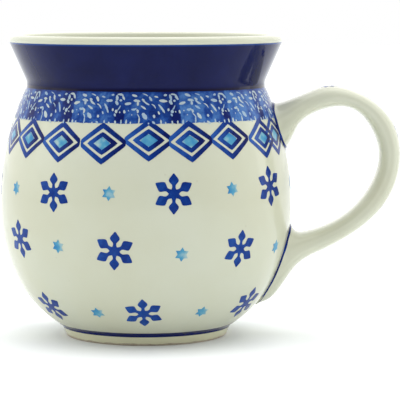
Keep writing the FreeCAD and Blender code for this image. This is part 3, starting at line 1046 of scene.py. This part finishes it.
def pigment(name, stops, grain=0.16):
    """Underglaze colour: its depth follows each print's tone, broken up by the sponge's grain."""
    nodes = Nodes(name)
    fine = nodes.maths("MULTIPLY", nodes.maths("SUBTRACT", nodes.noise(1500, 3.0, 0.6), 0.5), grain * 2)
    broad = nodes.maths("MULTIPLY", nodes.maths("SUBTRACT", nodes.noise(420, 3.0, 0.6), 0.5), grain * 2)
    depth = nodes.maths("ADD", nodes.tone(), nodes.maths("ADD", fine, broad), clamp=True)
    nodes.link(nodes.ramp(depth, stops), nodes.shader.inputs["Base Color"])
    return nodes.glaze(PIGMENT_SPECULAR)


COLLAR_STOPS = [(0.3, (0.0025, 0.0045, 0.043)), (0.7, (0.0045, 0.008, 0.066))]
COLLAR_NECK_DARK = (0.004, 0.0025, 0.02)
COLLAR_THIN = (0.012, 0.065, 0.30)


def cobalt_collar():
    """Thick dark cobalt, darker still along its lower edge at the neck."""
    nodes = Nodes("cobalt_collar")
    streak = nodes.noise(75, 4.0, 0.55, 0.6)
    field = nodes.ramp(streak, COLLAR_STOPS)
    # Darker along the collar's lower edge at the neck.
    colour = nodes.mix(nodes.fade(COLLAR_LOW + 1.4, COLLAR_LOW + 0.4), field, COLLAR_NECK_DARK)
    colour = nodes.mix(nodes.fade(COLLAR_HIGH - 0.7, COLLAR_HIGH), colour, COLLAR_THIN)
    nodes.link(colour, nodes.shader.inputs["Base Color"])
    return nodes.glaze(0.12, 0.02, 0.05)


BLUE_STOPS = [(0.0, (0.018, 0.085, 0.34)), (0.5, (0.003, 0.032, 0.21)), (1.0, (0.001, 0.006, 0.085))]
SPONGE_STOPS = [(0.0, (0.060, 0.170, 0.43)), (0.45, (0.009, 0.052, 0.26)), (1.0, (0.001, 0.008, 0.10))]
FLECK_STOPS = [(0.0, (0.54, 0.59, 0.53)), (1.0, (0.24, 0.38, 0.56))]
LIGHT_STOPS = [(0.0, (0.36, 0.50, 0.50)), (0.4, (0.085, 0.31, 0.46)), (1.0, (0.010, 0.15, 0.42))]


def make_materials():
    return {
        "cream": cream_glaze(),
        "vessel": vessel_glaze(),
        "collar": cobalt_collar(),
        "blue": pigment("cobalt_print", BLUE_STOPS),
        "sponge": pigment("sponge_print", SPONGE_STOPS, 0.3),
        "light_blue": pigment("light_blue_print", LIGHT_STOPS, 0.12),
        "fleck": pigment("bare_flecks", FLECK_STOPS, 0.2),
    }


# ---------------------------------------------------------------- setting

FLOOR_HALF = 4.0
FLOOR_STOPS = [(0.3, (0.93, 0.955, 0.965)), (0.7, (0.945, 0.965, 0.975))]

# The tent's brightness in front of the mug and beside or behind it
TENT_FRONT, TENT_BACK = 0.42, 1.42
LIGHT_TARGET = (0.0, 0.0, 0.05)
# Name, place, width, height and radiance of each softbox
SOFTBOXES = [
    ("left_softbox", (-0.85, -0.1, 0.55), 0.6, 0.8, 0.55),
    ("top_softbox", (0.1, 0.1, 1.1), 0.9, 0.9, 1.5),
    ("right_softbox", (0.95, 0.35, 0.45), 0.35, 0.8, 1.0),
]

SENSOR_WIDTH = 36
LENS = 193.4
CAMERA_DISTANCE, CAMERA_HEIGHT = 0.75, 0.120
AIM_LEFT, AIM_HEIGHT = 0.00015, 0.0471  # left of the middle of the CAD box, and above the floor


def make_floor():
    """A plain pale floor, gently uneven in tone."""
    mesh = bpy.data.meshes.new("floor")
    half = FLOOR_HALF
    corners = [(-half, -half, 0), (half, -half, 0), (half, half, 0), (-half, half, 0)]
    mesh.from_pydata(corners, [], [(0, 1, 2, 3)])
    nodes = Nodes("floor_white")
    nodes.link(nodes.ramp(nodes.noise(3, 2.0), FLOOR_STOPS), nodes.shader.inputs["Base Color"])
    nodes.shader.inputs["Roughness"].default_value = 0.9
    nodes.shader.inputs["Specular IOR Level"].default_value = 0.1
    mesh.materials.append(nodes.material)
    floor = bpy.data.objects.new("floor", mesh)
    bpy.context.scene.collection.objects.link(floor)


def softbox(name, where, width, height, radiance):
    """A rectangular soft light of a given brightness, aimed at the mug."""
    lamp = bpy.data.lights.new(name, "AREA")
    lamp.shape = "RECTANGLE"
    lamp.size, lamp.size_y = width, height
    lamp.energy = radiance * math.pi * width * height
    box = bpy.data.objects.new(name, lamp)
    box.location = where
    box.rotation_euler = (Vector(LIGHT_TARGET) - Vector(where)).to_track_quat("-Z", "Y").to_euler()
    bpy.context.scene.collection.objects.link(box)


def make_light():
    """A white light tent, dimmer in front of the mug, and three softboxes."""
    world = bpy.data.worlds.new("tent")
    bpy.context.scene.world = world
    world.use_nodes = True
    tree = world.node_tree
    back = tree.nodes["Background"]
    back.inputs["Color"].default_value = (1, 1, 1, 1)
    place = tree.nodes.new("ShaderNodeTexCoord").outputs["Generated"]
    split = tree.nodes.new("ShaderNodeSeparateXYZ")
    tree.links.new(place, split.inputs[0])
    tent = tree.nodes.new("ShaderNodeMapRange")
    tent.inputs["From Min"].default_value = -1.0
    tent.inputs["From Max"].default_value = 0.0
    tent.inputs["To Min"].default_value = TENT_FRONT
    tent.inputs["To Max"].default_value = TENT_BACK
    tree.links.new(split.outputs["Y"], tent.inputs["Value"])
    seen = tree.nodes.new("ShaderNodeLightPath").outputs["Is Camera Ray"]
    level = tree.nodes.new("ShaderNodeMix")
    level.inputs[3].default_value = 1.0
    tree.links.new(seen, level.inputs[0])
    tree.links.new(tent.outputs["Result"], level.inputs[2])
    tree.links.new(level.outputs[0], back.inputs["Strength"])
    for box in SOFTBOXES:
        softbox(*box)
    bpy.context.scene.view_settings.view_transform = "Standard"


def make_camera():
    """A long lens a little above the rim, aimed at the middle of the mug and its handle."""
    low, high = CAD_BOX
    target = Vector(((low[0] + high[0]) / 2 - AIM_LEFT, 0, AIM_HEIGHT))
    data = bpy.data.cameras.new("camera")
    data.lens = LENS
    data.sensor_width = SENSOR_WIDTH
    camera = bpy.data.objects.new("camera", data)
    camera.location = (target.x, -CAMERA_DISTANCE, CAMERA_HEIGHT)
    camera.rotation_euler = (target - camera.location).to_track_quat("-Z", "Y").to_euler()
    bpy.context.scene.collection.objects.link(camera)
    bpy.context.scene.camera = camera


def main():
    materials = make_materials()
    make_floor()
    make_light()
    make_camera()
    vessel_mesh(materials["vessel"])
    ring_band("collar_cobalt", COLLAR_LOW, COLLAR_HIGH, COLLAR_LIFT, materials["collar"], 24)
    paint_sponge(materials)
    paint_lozenges(materials)
    paint_snow(materials)
    ring_band("foot_line", FOOT_LINE_LOW, FOOT_LINE_HIGH, LINE_LIFT, materials["blue"], 4,
              tone=lambda turn, height: 0.95)
    strap = Strap()
    rings = handle_mesh(strap, materials["cream"])
    paint_roots(rings, materials)
    paint_handle(strap, materials)
    for node in ("upper_joint_slip", "lower_joint_slip"):
        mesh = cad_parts[node].data
        mesh.materials.clear()
        mesh.materials.append(materials["cream"])


main()
